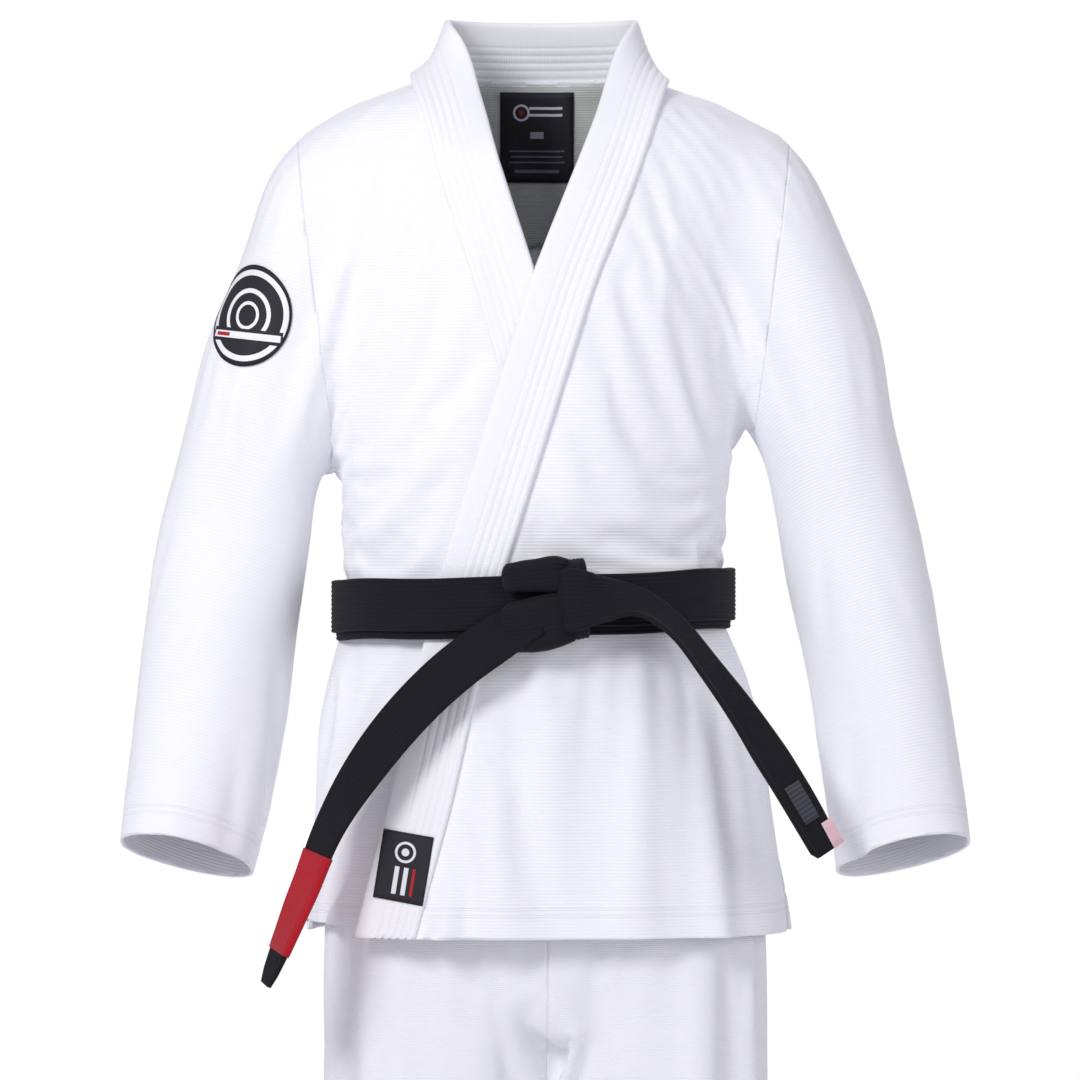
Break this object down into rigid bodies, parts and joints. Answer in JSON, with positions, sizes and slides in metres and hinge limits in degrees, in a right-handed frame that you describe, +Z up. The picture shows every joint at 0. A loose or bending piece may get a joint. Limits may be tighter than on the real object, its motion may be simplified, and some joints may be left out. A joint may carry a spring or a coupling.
{
  "type": "martial arts uniform",
  "caption": "Wrapped cotton jacket with thick stitched collar, knotted belt with hanging ends and loose trousers, posed as worn with hollow body, sleeves and legs.",
  "frame": {"origin": "the neck seat, where the collar leaves the shoulders, in the middle of the wearer", "axes": "+Z up, -Y to the front, +X to the wearer's left"},
  "size_m": [0.754, 0.3053, 1.55],
  "materials": {
    "pearl_weave": "white cotton pearl weave, fine horizontal ribs, matt",
    "collar_twill": "white cotton twill over a stiff core, rows of stitching",
    "trouser_twill": "white cotton ripstop twill, matt",
    "lining_cotton": "plain cotton lining, seen in shadow",
    "belt_cotton": "black cotton belt webbing, rows of lengthwise stitching",
    "rank_cotton": "red cotton bar sewn over the belt",
    "woven_label": null,
    "embroidery": "embroidered patch, satin stitched rings",
    "tag_cotton": "small pale woven tag",
    "collar_rubber": "foamed rubber strip"
  },
  "bodies": {
    "jacket": {"back_panel": "pearl_weave", "front_panel_left": "pearl_weave", "front_panel_right": "pearl_weave", "upper_sleeve_left": "pearl_weave", "upper_sleeve_right": "pearl_weave", "armpit_gusset_left": "pearl_weave", "armpit_gusset_right": "pearl_weave", "vent_patch_left": "pearl_weave", "vent_patch_right": "pearl_weave", "collar_band": "collar_twill", "back_yoke_lining": "lining_cotton", "collar_core_left": "collar_rubber", "collar_core_right": "collar_rubber", "neck_label": "woven_label", "lapel_label": "woven_label", "sleeve_patch": "embroidery", "belt_inner_wrap": "belt_cotton", "belt_outer_wrap": "belt_cotton", "knot_cross_band": "belt_cotton", "knot_upper_fold": "belt_cotton", "knot_lower_fold": "belt_cotton", "knot_side_fold": "belt_cotton", "trouser_waistband": "trouser_twill", "trouser_seat": "trouser_twill", "crotch_gusset": "trouser_twill", "drawstring_loop_1": "trouser_twill", "drawstring_loop_2": "trouser_twill", "drawstring_loop_3": "trouser_twill", "drawstring_loop_4": "trouser_twill", "drawstring_loop_5": "trouser_twill", "drawstring_loop_6": "trouser_twill"},
    "forearm_left_body": {"forearm_sleeve_left": "pearl_weave", "cuff_tape_left": "lining_cotton"},
    "forearm_right_body": {"forearm_sleeve_right": "pearl_weave", "cuff_tape_right": "lining_cotton"},
    "leg_left_body": {"leg_left": "trouser_twill", "hem_band_left": "trouser_twill", "knee_patch_left": "trouser_twill"},
    "leg_right_body": {"leg_right": "trouser_twill", "hem_band_right": "trouser_twill", "knee_patch_right": "trouser_twill"},
    "belt_end_left_body": {"belt_end_left": "belt_cotton", "belt_label": "woven_label", "belt_size_tag": "tag_cotton"},
    "belt_end_right_body": {"belt_end_right": "belt_cotton", "rank_bar": "rank_cotton"}
  },
  "joints": [
    {"name": "elbow_left", "type": "hinge", "parent": "jacket", "child": "forearm_left_body", "pos_m": [0.283, 0.004, -0.372], "axis": [-1, 0, 0], "range_deg": [0, 45]},
    {"name": "elbow_right", "type": "hinge", "parent": "jacket", "child": "forearm_right_body", "pos_m": [-0.273, 0.004, -0.372], "axis": [-1, 0, 0], "range_deg": [0, 45]},
    {"name": "hip_left", "type": "hinge", "parent": "jacket", "child": "leg_left_body", "pos_m": [0.114, 0.004, -0.862], "axis": [-1, 0, 0], "range_deg": [-20, 25]},
    {"name": "hip_right", "type": "hinge", "parent": "jacket", "child": "leg_right_body", "pos_m": [-0.098, 0.004, -0.862], "axis": [-1, 0, 0], "range_deg": [-20, 25]},
    {"name": "belt_end_left_swing", "type": "hinge", "parent": "jacket", "child": "belt_end_left_body", "pos_m": [0.062, -0.1387, -0.447], "axis": [-0.5145, 0, -0.8575], "range_deg": [0, 60]},
    {"name": "belt_end_right_swing", "type": "hinge", "parent": "jacket", "child": "belt_end_right_body", "pos_m": [-0.034, -0.1377, -0.486], "axis": [-0.5924, 0, 0.8057], "range_deg": [0, 60]}
  ]
}
